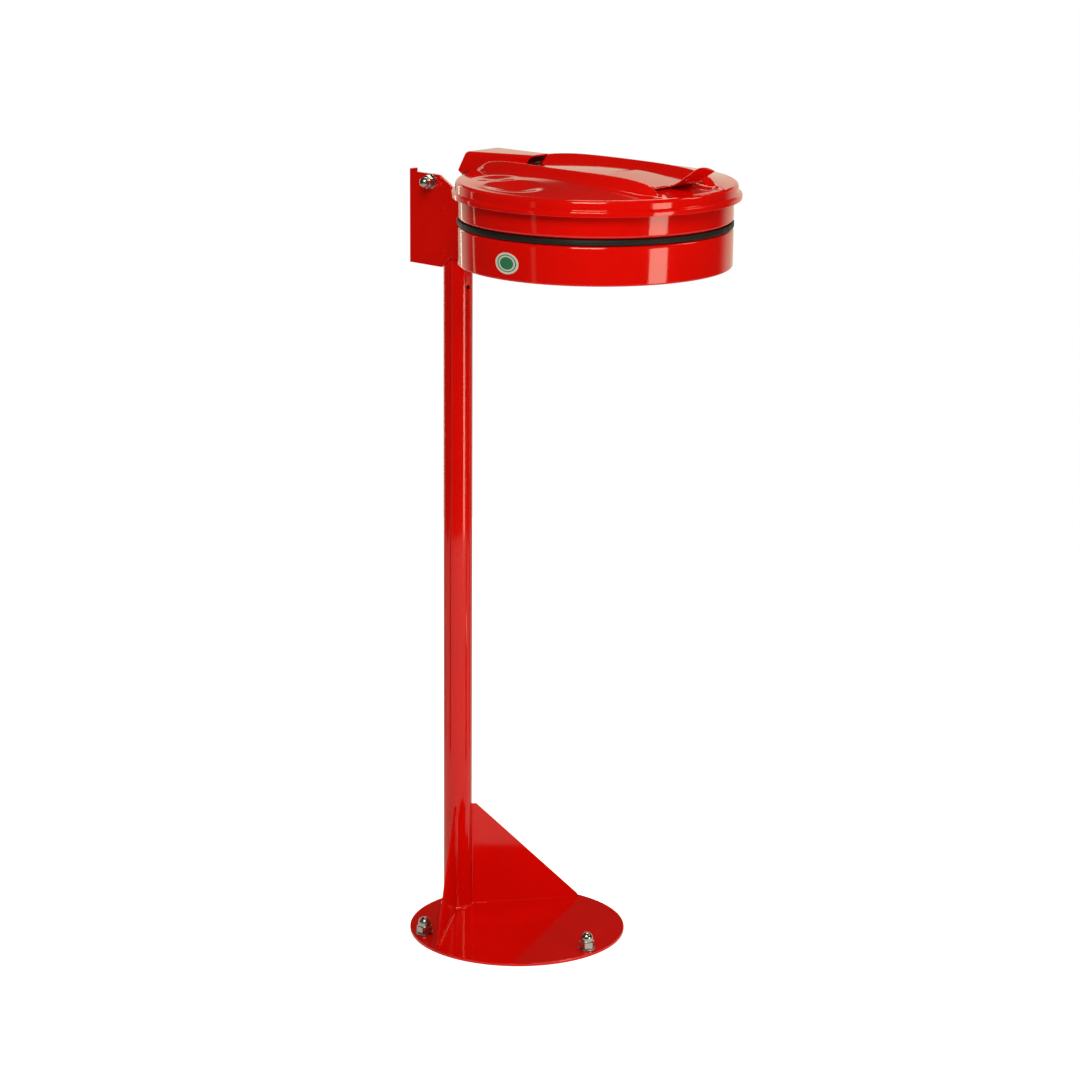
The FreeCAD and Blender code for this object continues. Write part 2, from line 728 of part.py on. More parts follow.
NODES = {
    "base_plate": base_plate,
    "anchor_washers": anchor_washers,
    "anchor_dome_nuts": anchor_dome_nuts,
    "pole_tube": pole_tube,
    "pole_foot_weld": pole_foot_weld,
    "gusset_right": lambda: gusset(1),
    "gusset_left": lambda: gusset(-1),
    "pole_end_cap": pole_end_cap,
    "bracket_side_plate": side_plate,
    "bracket_far_plate": far_plate,
    "bracket_web": bracket_web,
    "pole_bolts": pole_bolts,
    "pole_bolt_washers": pole_bolt_washers,
    "fixing_bolt": fixing_bolt,
    "fixing_bolt_washers": fixing_washers,
    "fixing_bolt_dome_nut": fixing_dome_nut,
    "bag_ring": bag_ring,
    "elastic_strap": elastic_strap,
    "strap_ferrule": strap_ferrule,
    "oval_sticker": oval_sticker,
    "hinge_bushes": hinge_bushes,
    "lid_shell": lid_shell,
    "lid_buffers": lid_buffers,
    "lid_handle": lid_handle,
    "hinge_hood": hinge_hood,
    "hood_rivets": hood_rivets,
    "hood_plug": hood_plug,
    "hinge_pin": hinge_pin,
    "pin_retainers": pin_retainers,
}

os.makedirs("parts", exist_ok=True)
for name, make in NODES.items():
    shape = make()
    print(name, len(shape.Solids), round(shape.Volume), shape.isValid())
    shape.exportStep("parts/" + name + ".step")
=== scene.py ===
"""The looks of a free-standing litter-bag holder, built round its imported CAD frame.

Blender metres, +Z up, front at -Y. The head is measured in millimetres from the pole's axis, as a
designer would: "forward" runs to the front, "side" is +X. The frame gives where each thing is.
"""
import bpy
import bmesh
import json
import math
from mathutils import Matrix, Vector


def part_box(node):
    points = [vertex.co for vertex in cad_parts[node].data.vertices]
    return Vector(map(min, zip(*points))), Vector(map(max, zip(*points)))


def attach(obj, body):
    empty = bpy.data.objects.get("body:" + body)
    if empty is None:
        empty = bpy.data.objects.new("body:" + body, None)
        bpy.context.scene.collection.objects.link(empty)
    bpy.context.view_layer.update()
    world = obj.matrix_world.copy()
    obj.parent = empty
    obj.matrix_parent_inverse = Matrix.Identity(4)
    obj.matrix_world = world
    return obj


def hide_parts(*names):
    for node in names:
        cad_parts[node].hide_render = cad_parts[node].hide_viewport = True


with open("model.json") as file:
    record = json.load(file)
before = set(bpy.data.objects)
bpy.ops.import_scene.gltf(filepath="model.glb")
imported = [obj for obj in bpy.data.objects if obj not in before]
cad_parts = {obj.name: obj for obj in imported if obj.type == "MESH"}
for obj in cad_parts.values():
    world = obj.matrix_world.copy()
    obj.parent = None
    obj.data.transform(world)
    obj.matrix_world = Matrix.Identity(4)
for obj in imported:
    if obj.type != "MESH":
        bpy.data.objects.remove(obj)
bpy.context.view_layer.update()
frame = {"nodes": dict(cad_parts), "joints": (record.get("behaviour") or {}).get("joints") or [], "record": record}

MM = 0.001
UP = Vector((0, 0, 1))


def centre_of(node):
    low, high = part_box(node)
    return (low + high) / 2


def millimetres(node):
    """A node's lowest and highest corners, in millimetres."""
    low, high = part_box(node)
    return low / MM, high / MM


POLE = centre_of("pole_tube") / MM
RING = centre_of("bag_ring") / MM


def at(forward, side, height):
    return Vector((side, POLE.y - forward, height)) * MM


def smooth(low, high, value):
    """0 below low, 1 above high, and an even rise between them."""
    share = min(max((value - low) / (high - low), 0.0), 1.0)
    return share * share * (3 - 2 * share)


def through(points, value):
    """The height at value of a smooth line through (place, height) points."""
    if value <= points[0][0]:
        return points[0][1]
    if value >= points[-1][0]:
        return points[-1][1]
    i = max(k for k in range(len(points) - 1) if points[k][0] <= value)
    slopes = []
    for k in (i, i + 1):
        before, after = points[max(k - 1, 0)], points[min(k + 1, len(points) - 1)]
        slopes.append((after[1] - before[1]) / (after[0] - before[0]))
    (x0, y0), (x1, y1) = points[i], points[i + 1]
    span = x1 - x0
    s = (value - x0) / span
    return ((2 * s ** 3 - 3 * s ** 2 + 1) * y0 + (s ** 3 - 2 * s ** 2 + s) * span * slopes[0]
            + (3 * s ** 2 - 2 * s ** 3) * y1 + (s ** 3 - s ** 2) * span * slopes[1])


# ---- camera

camera_target = Vector((-0.0239, -0.0624, 0.5749))    # from the middle of the base plate
camera_azimuth = math.radians(-46.19)
camera_pitch = math.radians(14.29)
camera_distance = 4.450
camera_roll = math.radians(0.40)
camera_lens = 110.27
back_way = Vector((-math.sin(camera_azimuth), math.cos(camera_azimuth), 0))
right_way = Vector((math.cos(camera_azimuth), math.sin(camera_azimuth), 0))


def make_camera():
    target = centre_of("base_plate") + camera_target
    back = UP * math.sin(camera_pitch) - back_way * math.cos(camera_pitch)
    up = back.cross(right_way)
    tilted_right = right_way * math.cos(camera_roll) + up * math.sin(camera_roll)
    tilted_up = up * math.cos(camera_roll) - right_way * math.sin(camera_roll)
    data = bpy.data.cameras.new("camera")
    data.lens = camera_lens
    data.sensor_width = 36.0
    data.clip_end = 100.0
    camera = bpy.data.objects.new("camera", data)
    bpy.context.scene.collection.objects.link(camera)
    axes = Matrix((tilted_right, tilted_up, back)).transposed()
    camera.matrix_world = Matrix.Translation(target + back * camera_distance) @ axes.to_4x4()
    bpy.context.scene.camera = camera


# ---- studio

floor_radius = 2.4
floor_mirrored = 0.24           # the floor's glow in reflections, as a share of its glow to the camera
white_band_top = 0.235          # sine of the elevation where the white backdrop starts to end
white_band_end = 0.32
light_colour = (1.0, 0.95, 0.74)


def softbox(name, azimuth, elevation, distance, width, height, radiance, aim=Vector((0, -0.07, 0.85))):
    """A rectangular light, placed from aim by its angle to the camera's right and its elevation."""
    turn, rise = math.radians(azimuth), math.radians(elevation)
    level = right_way * math.sin(turn) - back_way * math.cos(turn)
    way = level * math.cos(rise) + UP * math.sin(rise)
    data = bpy.data.lights.new(name, "AREA")
    data.shape = "RECTANGLE"
    data.size = width
    data.size_y = height
    data.energy = radiance * math.pi * width * height
    data.color = light_colour
    light = bpy.data.objects.new(name, data)
    bpy.context.scene.collection.objects.link(light)
    light.location = aim + way * distance
    light.rotation_euler = way.to_track_quat("Z", "Y").to_euler()
    light.visible_camera = False


def math_node(tree, operation, *values, clamp=False):
    node = tree.nodes.new("ShaderNodeMath")
    node.operation = operation
    node.use_clamp = clamp
    for socket, value in zip(node.inputs, values):
        if hasattr(value, "default_value"):
            tree.links.new(value, socket)
        else:
            socket.default_value = value
    return node.outputs[0]


def ramp_node(tree, value, low, high, start=0.0, end=1.0):
    node = tree.nodes.new("ShaderNodeMapRange")
    node.interpolation_type = "SMOOTHSTEP"
    tree.links.new(value, node.inputs["Value"])
    for name, number in (("From Min", low), ("From Max", high), ("To Min", start), ("To Max", end)):
        node.inputs[name].default_value = number
    return node.outputs["Result"]


def make_world():
    """White to look at; in reflections a white backdrop behind and low down, and a dim room elsewhere."""
    world = bpy.data.worlds.new("studio")
    bpy.context.scene.world = world
    world.use_nodes = True
    tree = world.node_tree
    way = tree.nodes.new("ShaderNodeTexCoord").outputs["Generated"]
    parts = tree.nodes.new("ShaderNodeSeparateXYZ")
    tree.links.new(way, parts.inputs[0])
    behind = math_node(tree, "ADD", math_node(tree, "MULTIPLY", parts.outputs["X"], back_way.x),
                       math_node(tree, "MULTIPLY", parts.outputs["Y"], back_way.y))
    low = ramp_node(tree, parts.outputs["Z"], white_band_top, white_band_end, 1.0, 0.0)
    level = math_node(tree, "MULTIPLY", low, ramp_node(tree, behind, 0.48, 0.88))
    seen = ramp_node(tree, level, 0.0, 1.0, 0.035, 0.86)
    ray = tree.nodes.new("ShaderNodeLightPath")
    diffuse = math_node(tree, "MULTIPLY", ray.outputs["Is Diffuse Ray"], 0.12)
    strength = math_node(tree, "ADD", seen, diffuse)
    strength = math_node(tree, "MAXIMUM", strength, ray.outputs["Is Camera Ray"])
    tree.links.new(strength, tree.nodes["Background"].inputs["Strength"])
    tint = mixed(tree, ray.outputs["Is Camera Ray"], light_colour, (1, 1, 1))
    tree.links.new(tint, tree.nodes["Background"].inputs["Color"])


def make_floor():
    points = [Vector((0, 0, -0.0002))]
    count = 128
    for i in range(count):
        angle = 2 * math.pi * i / count
        points.append(Vector((math.cos(angle), math.sin(angle), 0)) * floor_radius + points[0])
    mesh = bpy.data.meshes.new("floor")
    mesh.from_pydata(points, [], [(0, i + 1, (i + 1) % count + 1) for i in range(count)])
    floor = bpy.data.objects.new("floor", mesh)
    bpy.context.scene.collection.objects.link(floor)
    pale = bpy.data.materials.new("pale_floor")
    pale.use_nodes = True
    tree = pale.node_tree
    place = tree.nodes.new("ShaderNodeTexCoord").outputs["Object"]
    reach = tree.nodes.new("ShaderNodeVectorMath")
    reach.operation = "LENGTH"
    tree.links.new(place, reach.inputs[0])
    shader = tree.nodes["Principled BSDF"]
    shader.inputs["Base Color"].default_value = (0.78, 0.78, 0.78, 1)
    shader.inputs["Roughness"].default_value = 0.9
    shader.inputs["Specular IOR Level"].default_value = 0.0
    shader.inputs["Emission Color"].default_value = (1, 1, 1, 1)
    glow = ramp_node(tree, reach.outputs["Value"], 0.5, 1.6, 0.95, 1.0)
    seen = tree.nodes.new("ShaderNodeLightPath").outputs["Is Camera Ray"]
    share = math_node(tree, "ADD", math_node(tree, "MULTIPLY", seen, 1 - floor_mirrored), floor_mirrored)
    tree.links.new(math_node(tree, "MULTIPLY", glow, share), shader.inputs["Emission Strength"])
    mesh.materials.append(pale)


def make_studio():
    make_world()
    make_floor()
    softbox("side_softbox", 50.8, -6, 2.6, 0.70, 1.25, 5.4)
    softbox("high_softbox", -6, 42, 2.6, 0.98, 1.15, 10.5)
    softbox("right_softbox", 92, 40, 2.6, 0.5, 0.7, 5.0)
    softbox("left_strip_near", -118, 0, 2.4, 0.10, 1.9, 1.6)
    softbox("left_strip_far", -147, 0, 2.4, 0.09, 1.9, 4.0)
    softbox("faint_strip", -50, -5, 2.8, 0.18, 1.6, 0.4)
    softbox("rear_fill", 165, 50, 3.2, 1.4, 1.4, 3.0)
    bpy.context.scene.view_settings.view_transform = "Standard"


# ---- materials

def new_material(name):
    material = bpy.data.materials.new(name)
    material.use_nodes = True
    return material, material.node_tree, material.node_tree.nodes["Principled BSDF"]


def noise_node(tree, scale, detail=3.0, stretch=(1, 1, 1)):
    """Fractal noise over the object's own metres; scale is in features a metre."""
    place = tree.nodes.new("ShaderNodeTexCoord").outputs["Object"]
    mapping = tree.nodes.new("ShaderNodeMapping")
    mapping.inputs["Scale"].default_value = stretch
    tree.links.new(place, mapping.inputs["Vector"])
    node = tree.nodes.new("ShaderNodeTexNoise")
    node.inputs["Scale"].default_value = scale
    node.inputs["Detail"].default_value = detail
    tree.links.new(mapping.outputs[0], node.inputs["Vector"])
    return node.outputs["Fac"]


def mixed(tree, share, one, other):
    node = tree.nodes.new("ShaderNodeMix")
    node.data_type = "RGBA"
    tree.links.new(share, node.inputs["Factor"])
    for socket, colour in ((node.inputs["A"], one), (node.inputs["B"], other)):
        if hasattr(colour, "default_value"):
            tree.links.new(colour, socket)
        else:
            socket.default_value = (*colour, 1)
    return node.outputs["Result"]


def edge_share(tree, width):
    """0 on flats, rising to 1 along sharp edges, from a rounded normal against the true one."""
    rounded = tree.nodes.new("ShaderNodeBevel")
    rounded.samples = 4
    rounded.inputs["Radius"].default_value = width
    true = tree.nodes.new("ShaderNodeNewGeometry").outputs["Normal"]
    dot = tree.nodes.new("ShaderNodeVectorMath")
    dot.operation = "DOT_PRODUCT"
    tree.links.new(rounded.outputs[0], dot.inputs[0])
    tree.links.new(true, dot.inputs[1])
    return ramp_node(tree, dot.outputs["Value"], 0.99, 0.82)


def bump(tree, shader, height, distance, strength=1.0):
    node = tree.nodes.new("ShaderNodeBump")
    node.inputs["Strength"].default_value = strength
    node.inputs["Distance"].default_value = distance
    tree.links.new(height, node.inputs["Height"])
    tree.links.new(node.outputs[0], shader.inputs["Normal"])


def finish(name, colour, darker, worn, roughness, metallic, grain, grain_depth, edge_width,
           stretch=(1, 1, 1), specular=0.5):
    """A surface with slow colour variation, uneven gloss, a fine grain and lighter, duller edges."""
    material, tree, shader = new_material(name)
    slow = ramp_node(tree, noise_node(tree, 9.0), 0.3, 0.7)
    body = mixed(tree, slow, colour, darker)
    edges = edge_share(tree, edge_width)
    broken = math_node(tree, "MULTIPLY", edges, ramp_node(tree, noise_node(tree, 240.0), 0.45, 0.75))
    tree.links.new(mixed(tree, broken, body, worn), shader.inputs["Base Color"])
    gloss = ramp_node(tree, noise_node(tree, 60.0, 5.0), 0.2, 0.8, roughness[0], roughness[1])
    tree.links.new(math_node(tree, "ADD", gloss, math_node(tree, "MULTIPLY", broken, 0.15)),
                   shader.inputs["Roughness"])
    shader.inputs["Metallic"].default_value = metallic
    shader.inputs["Specular IOR Level"].default_value = specular
    bump(tree, shader, noise_node(tree, grain, 2.0, stretch), grain_depth)
    return material


def make_materials():
    return {
        "red_powder_coat": finish("red_powder_coat", (0.84, 0.0034, 0.0008), (0.78, 0.0028, 0.0006),
                                  (0.86, 0.035, 0.018), (0.06, 0.095), 0.0, 520.0, 0.000004, 0.0010),
        "zinc_steel": finish("zinc_steel", (0.62, 0.61, 0.59), (0.42, 0.42, 0.42), (0.82, 0.81, 0.79),
                             (0.16, 0.34), 1.0, 1500.0, 0.00002, 0.0006, (1, 1, 6)),
        "black_rubber": finish("black_rubber", (0.014, 0.012, 0.012), (0.009, 0.008, 0.008),
                               (0.035, 0.032, 0.032), (0.42, 0.6), 0.0, 2200.0, 0.00006, 0.0008,
                               (0.15, 0.15, 3.0), 0.28),
        "black_plastic": finish("black_plastic", (0.018, 0.018, 0.018), (0.012, 0.012, 0.012),
                                (0.06, 0.06, 0.06), (0.35, 0.5), 0.0, 1800.0, 0.00004, 0.0008),
        "nylon": finish("nylon", (0.62, 0.60, 0.54), (0.52, 0.50, 0.45), (0.75, 0.74, 0.70),
                        (0.35, 0.5), 0.0, 900.0, 0.00002, 0.0006),
        "sticker_film": finish("sticker_film", (0.78, 0.80, 0.78), (0.70, 0.72, 0.71), (0.86, 0.86, 0.85),
                               (0.18, 0.28), 0.0, 700.0, 0.00001, 0.0004),
        "sticker_ink": finish("sticker_ink", (0.045, 0.26, 0.13), (0.035, 0.21, 0.11), (0.10, 0.32, 0.20),
                              (0.18, 0.28), 0.0, 700.0, 0.00001, 0.0004),
    }


# ---- mesh helpers

def piece(name, verts, faces, body, slot, material=None, replaced=(), sharp=40.0):
    """A new piece of the object from points and faces, smooth but for edges sharper than an angle."""
    mesh = bpy.data.meshes.new(name)
    mesh.from_pydata(verts, [], faces)
    bm = bmesh.new()
    bm.from_mesh(mesh)
    bmesh.ops.recalc_face_normals(bm, faces=bm.faces)
    bm.to_mesh(mesh)
    bm.free()
    mesh.polygons.foreach_set("use_smooth", [True] * len(mesh.polygons))
    mesh.set_sharp_from_angle(angle=math.radians(sharp))
    mesh.materials.append(materials[material or slot])
    obj = bpy.data.objects.new(name, mesh)
    bpy.context.scene.collection.objects.link(obj)
    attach(obj, body)
    if replaced:
        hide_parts(*replaced)
    return obj


def rounded(corners, steps=6):
    """An outline through (radius, height, rounding) corners, with points along each rounding."""
    points = []
    for i, (r, h, rounding) in enumerate(corners):
        corner = Vector((r, h))
        if not rounding:
            points.append(corner)
            continue
        before = (Vector(corners[i - 1][:2]) - corner).normalized()
        after = (Vector(corners[(i + 1) % len(corners)][:2]) - corner).normalized()
        half_angle = before.angle(after) / 2
        centre = corner + (before + after).normalized() * rounding / math.sin(half_angle)
        cut = rounding / math.tan(half_angle)
        start, end = corner + before * cut - centre, corner + after * cut - centre
        turn = start.angle_signed(end)
        for k in range(steps + 1):
            angle = -turn * k / steps
            points.append(centre + Vector((start.x * math.cos(angle) - start.y * math.sin(angle),
                                           start.x * math.sin(angle) + start.y * math.cos(angle))))
    return points


def lathe(outline, centre, segments, wobble=None):
    """Points and faces of a closed outline of (radius, height) turned about a vertical line."""
    verts, faces = [], []
    count = len(outline)
    for i in range(segments):
        angle = 2 * math.pi * i / segments
        way = Vector((math.cos(angle), math.sin(angle), 0))
        for k, (r, h) in enumerate(outline):
            extra = wobble(angle, k) if wobble else 0.0
            verts.append((way * (r + extra) + Vector((centre.x, centre.y, h))) * MM)
    for i in range(segments):
        j = (i + 1) % segments
        for k in range(count):
            m = (k + 1) % count
            faces.append((i * count + k, j * count + k, j * count + m, i * count + m))
    return verts, faces


def grid_faces(rows, columns, start=0):
    return [(start + r * columns + c, start + r * columns + c + 1,
             start + (r + 1) * columns + c + 1, start + (r + 1) * columns + c)
            for r in range(rows - 1) for c in range(columns - 1)]


def thicken(obj, thickness, edge_rounding, offset=-1.0):
    """Give a sheet its thickness and rounded edges, as modifiers on the object."""
    solid = obj.modifiers.new("thickness", "SOLIDIFY")
    solid.thickness = thickness * MM
    solid.offset = offset
    solid.use_even_offset = True
    edges = obj.modifiers.new("edges", "BEVEL")
    edges.width = edge_rounding * MM
    edges.segments = 2
    edges.limit_method = "ANGLE"
    edges.angle_limit = math.radians(55)


# ---- lid

lid_low, lid_high = millimetres("lid_shell")
lid_wall = 1.5
lip_radius = lid_high.x
lip_bottom = lid_low.z
lip_top = lip_bottom + 7.0
lid_middle = centre_of("lid_shell") / MM
LID_FORWARD = POLE.y - lid_middle.y
skirt_radius = lip_radius - 5.0
rib_rise = 6.5
crown = lid_high.z - rib_rise
shoulder_drop = 15.0
shoulder_radius = skirt_radius - 6.0
dome_reach = shoulder_radius - 4.0
rib_spread, rib_sag, rib_shift, rib_span = 67.5, 20.0, 10.0, 184.0
# Along a rib's crest: ahead of the lid's axis, and the height above the crown.
rib_crest = ((-186.0, -21.0), (-174.0, -12.5), (-161.0, -6.0), (-145.0, 0.0), (-116.0, 4.0),
             (-81.0, 5.9), (-2.0, 6.4), (58.0, 6.4), (97.0, 5.2), (124.0, 3.2), (137.0, 0.9),
             (147.0, -4.0), (155.0, -11.0))
rib_top_rounding = 3.2
rib_foot_rounding = 2.0
rib_slope = 1.15
# An oval hollow: its middle (ahead, side), its half length and half width, and its depth.
dish = ((-13.0, 140.0), (52.0, 30.0), 7.0)
shallow_dish = ((-74.0, 112.0), (42.0, 22.0), 2.2)


def joined(one, other, rounding):
    """The higher of two heights, with the crease between them filled to a rounding."""
    gap = max(rounding - abs(one - other), 0.0) / rounding
    return max(one, other) + gap * gap * rounding / 4


def oval_depth(ahead, side, place, half, depth):
    share = math.hypot((ahead - place[0]) / half[0], (side - place[1]) / half[1])
    return depth * (1 - smooth(0.0, 1.0, share)) if share < 1.0 else 0.0


def lid_height(ahead, across):
    """The lid's top over a point, ahead of and across from the lid's axis."""
    side = abs(across)
    reach = math.hypot(ahead, across)
    dome = crown - shoulder_drop * (reach / shoulder_radius) ** 2
    inner = 1 - smooth(dome_reach - 14, dome_reach, reach)
    crest_side = rib_spread - rib_sag * ((ahead - rib_shift) / rib_span) ** 2
    floor = dome - oval_depth(ahead, side, *dish) * inner
    floor -= oval_depth(ahead, side, *shallow_dish) * inner
    off = side - crest_side
    fall = rib_slope * (math.hypot(off, rib_top_rounding) - rib_top_rounding)
    rib = crown + through(rib_crest, ahead) - fall
    higher = joined(floor, rib, rib_foot_rounding)
    return floor + (higher - floor) * (1 - smooth(shoulder_radius - 5, shoulder_radius + 0.5, reach))


def make_lid():
    """The pressed lid: domed top with ribs and dishes, round shoulder, skirt and lip, and its inside."""
    segments = 480
    step = 1.75
    reaches = [step * k for k in range(1, int(dome_reach / step) + 1)]
    shoulder = crown - shoulder_drop
    w = lid_wall
    dome_edge = crown - shoulder_drop * (dome_reach / shoulder_radius) ** 2
    skirt_top = shoulder + 0.6
    rim = [(dome_reach, dome_edge, 0), (skirt_radius, skirt_top, 5.0), (skirt_radius, lip_top, 1.6),
           (lip_radius, lip_top, 2.2), (lip_radius, lip_bottom, 0.5), (lip_radius - w, lip_bottom, 0.5),
           (lip_radius - w, lip_top - w, 1.0), (skirt_radius - w, lip_top - w, 2.4),
           (skirt_radius - w, skirt_top - w, 3.5), (dome_reach, dome_edge - w, 0)]
    edge = rounded(rim, 5)[1:-1]
    verts = [at(LID_FORWARD, 0, lid_height(0, 0))]
    rows = [(r, 0.0, None) for r in reaches] + [(p.x, 0.0, p.y) for p in edge]
    rows += [(r, w, None) for r in reversed(reaches)]
    for reach, inset, height in rows:
        for i in range(segments):
            angle = 2 * math.pi * i / segments
            ahead, across = reach * math.cos(angle), reach * math.sin(angle)
            top = lid_height(ahead, across) - inset if height is None else height
            verts.append(at(LID_FORWARD + ahead, across, top))
    verts.append(at(LID_FORWARD, 0, lid_height(0, 0) - w))
    last = len(verts) - 1
    faces = []
    for i in range(segments):
        j = (i + 1) % segments
        faces.append((0, 1 + i, 1 + j))
        for row in range(len(rows) - 1):
            a, b = 1 + row * segments, 1 + (row + 1) * segments
            faces.append((a + i, b + i, b + j, a + j))
        a = 1 + (len(rows) - 1) * segments
        faces.append((a + i, last, a + j))
    piece("lid_pressing", verts, faces, "lid", "red_powder_coat", replaced=["lid_shell"], sharp=50)


# ---- hinge hood

hood_low, hood_high = millimetres("hinge_hood")
hood_tip = POLE.y - hood_high.y
hood_front = POLE.y - hood_low.y
hood_rear = hood_tip + 14.0
hood_rear_half, hood_front_half = 32.0, 17.0
hood_rear_top, hood_front_top = hood_high.z - 3.6, hood_high.z
hood_front_lean = 11.0 / 13.0   # how far the front edge stands back, for each unit down
hood_tip_drop = 24.0
hood_fold = 4.0
hood_wall = 2.0
pin = frame["joints"][0]["pos_m"]
pin_forward, pin_height = POLE.y - pin[1] / MM, pin[2] / MM
lobe = 7.5


def hood_low_edge(forward, side):
    """The height of the lower edge of the hood's side wall."""
    if forward < pin_forward - lobe:
        share = (forward - hood_tip) / (pin_forward - lobe - hood_tip)
        return hood_rear_top - hood_tip_drop + (pin_height + hood_tip_drop - hood_rear_top) * share
    if forward < pin_forward + lobe:
        return pin_height - math.sqrt(max(lobe ** 2 - (forward - pin_forward) ** 2, 0))
    rim = LID_FORWARD - skirt_radius
    on_lid = lid_height(max(forward, rim + 6) - LID_FORWARD, side) - 0.4
    return pin_height + 3.0 + (on_lid - pin_height - 3.0) * smooth(rim - 1, rim + 6, forward)


def make_hood():
    """A folded sheet channel with rounded folds, a slanted rear edge and a lobe round the hinge pin."""
    wall_steps, fold_steps, top_steps = 10, 5, 8
    stations = [hood_rear + (hood_front - hood_rear) * (k / 60) ** 1.15 for k in range(61)]
    verts = []
    for forward in stations:
        share = (forward - hood_rear) / (hood_front - hood_rear)
        half = hood_rear_half + (hood_front_half - hood_rear_half) * share
        top = hood_rear_top + (hood_front_top - hood_rear_top) * share
        lean = 14.0 / hood_tip_drop * (1 - smooth(hood_rear, hood_rear + 34, forward))
        lean += hood_front_lean * smooth(hood_front - 30, hood_front, forward)
        fold_low = top - hood_fold
        place = forward
        for _ in range(6):
            place = forward - lean * (top - hood_low_edge(place, half))
        bottom = hood_low_edge(place, half)
        wall = []
        for k in range(wall_steps):
            height = bottom + (fold_low - bottom) * k / wall_steps
            wall.append((forward - lean * (top - height), half, height))
        for k in range(fold_steps + 1):
            angle = math.pi / 2 * k / fold_steps
            height = fold_low + hood_fold * math.sin(angle)
            wall.append((forward - lean * (top - height), half - hood_fold * (1 - math.cos(angle)), height))
        flat = half - hood_fold
        row = [(f, -s, h) for f, s, h in wall]
        row += [(forward, -flat + 2 * flat * k / top_steps, top) for k in range(1, top_steps)]
        row += list(reversed(wall))
        verts += [at(*point) for point in row]
    columns = 2 * (wall_steps + fold_steps + 1) + top_steps - 1
    hood = piece("hood_sheet", verts, grid_faces(len(stations), columns), "lid", "red_powder_coat",
                 replaced=["hinge_hood"], sharp=60)
    thicken(hood, hood_wall, 0.5)


# ---- handle

handle_wall = 1.5
foot_rear, foot_front = 292.0, 400.0
foot_rear_half, foot_front_half = 33.0, 46.0
tab_half, tab_front_half, tab_front = 19.5, 23.5, 437.0
foot_rear_top, foot_front_top = crown + 0.3, crown - 5.5
tab_side_rise, tab_middle_rise = 19.4, 25.6
foot_bow = 0.5                  # the foot's middle above its sides
lip_bow = 2.0                   # the tab's middle behind its corners


def make_handle():
    """A flat foot, and a tab that curves up from its middle with an arched, flared lip."""
    side_steps, middle_steps, foot_steps, tab_steps = 8, 18, 18, 16
    verts, rows = [], []
    for k in range(foot_steps + 1):
        share = k / foot_steps
        forward = foot_rear + (foot_front - foot_rear) * share
        half = foot_rear_half + (foot_front_half - foot_rear_half) * share
        half -= 5.0 * (1 - smooth(0.0, 0.08, share))
        top = foot_rear_top + (foot_front_top - foot_rear_top) * share
        sides = [-half + (half - tab_half) * c / side_steps for c in range(side_steps)]
        sides += [-tab_half + 2 * tab_half * c / middle_steps for c in range(middle_steps + 1)]
        sides += [tab_half + (half - tab_half) * (c + 1) / side_steps for c in range(side_steps)]
        rows.append(len(verts))
        verts += [at(forward, side, top + foot_bow * (1 - (side / half) ** 2)) for side in sides]
    columns = 2 * side_steps + middle_steps + 1
    faces = grid_faces(foot_steps + 1, columns)
    above = [rows[-1] + side_steps + c for c in range(middle_steps + 1)]
    for k in range(1, tab_steps + 1):
        share = k / tab_steps
        half = tab_half + (tab_front_half - tab_half) * smooth(0, 1, share)
        bend = share ** 1.22
        row = []
        for c in range(middle_steps + 1):
            off = -1 + 2 * c / middle_steps
            rise = tab_middle_rise + (tab_side_rise - tab_middle_rise) * off * off
            forward = foot_front + (tab_front - foot_front - lip_bow * (1 - off * off)) * share
            height = foot_front_top + rise * bend + foot_bow * (1 - share) * (1 - 0.2 * off * off)
            row.append(len(verts))
            verts.append(at(forward, half * off, height))
        for c in range(middle_steps):
            faces.append((above[c], above[c + 1], row[c + 1], row[c]))
        above = row
    handle = piece("handle_sheet", verts, faces, "lid", "red_powder_coat",
                   replaced=["lid_handle"], sharp=50)
    thicken(handle, handle_wall, 0.6)


# ---- ring and strap

ring_low, ring_high = millimetres("bag_ring")
strap_low, strap_high = millimetres("elastic_strap")
ring_radius = ring_high.x
ring_wall, ring_lip, ring_edge = 1.5, 6.0, 2.5
groove_radius, groove_low, groove_high = ring_radius - 9.0, strap_low.z - 0.3, strap_high.z + 0.3
groove_turn, groove_root = 5.0, 1.0


def make_ring():
    """The rolled ring: two bands, a groove between them, and turned-in edges."""
    r, w, g = ring_radius, ring_wall, groove_radius
    low, high = ring_low.z, ring_high.z
    outline = [(r - ring_lip, low, 0.4), (r, low, ring_edge), (r, groove_low, groove_turn),
               (g, groove_low, groove_root), (g, groove_high, groove_root),
               (r, groove_high, groove_turn), (r, high, ring_edge),
               (r - ring_lip, high, 0.4), (r - ring_lip, high - w, 0.4), (r - w, high - w, ring_edge - w),
               (r - w, groove_high + w, groove_turn - w), (g - w, groove_high + w, groove_root + w),
               (g - w, groove_low - w, groove_root + w), (r - w, groove_low - w, groove_turn - w),
               (r - w, low + w, ring_edge - w), (r - ring_lip, low + w, 0.4)]
    verts, faces = lathe(rounded(outline, 6), RING, 256)
    piece("ring_pressing", verts, faces, "stand", "red_powder_coat", replaced=["bag_ring"], sharp=50)


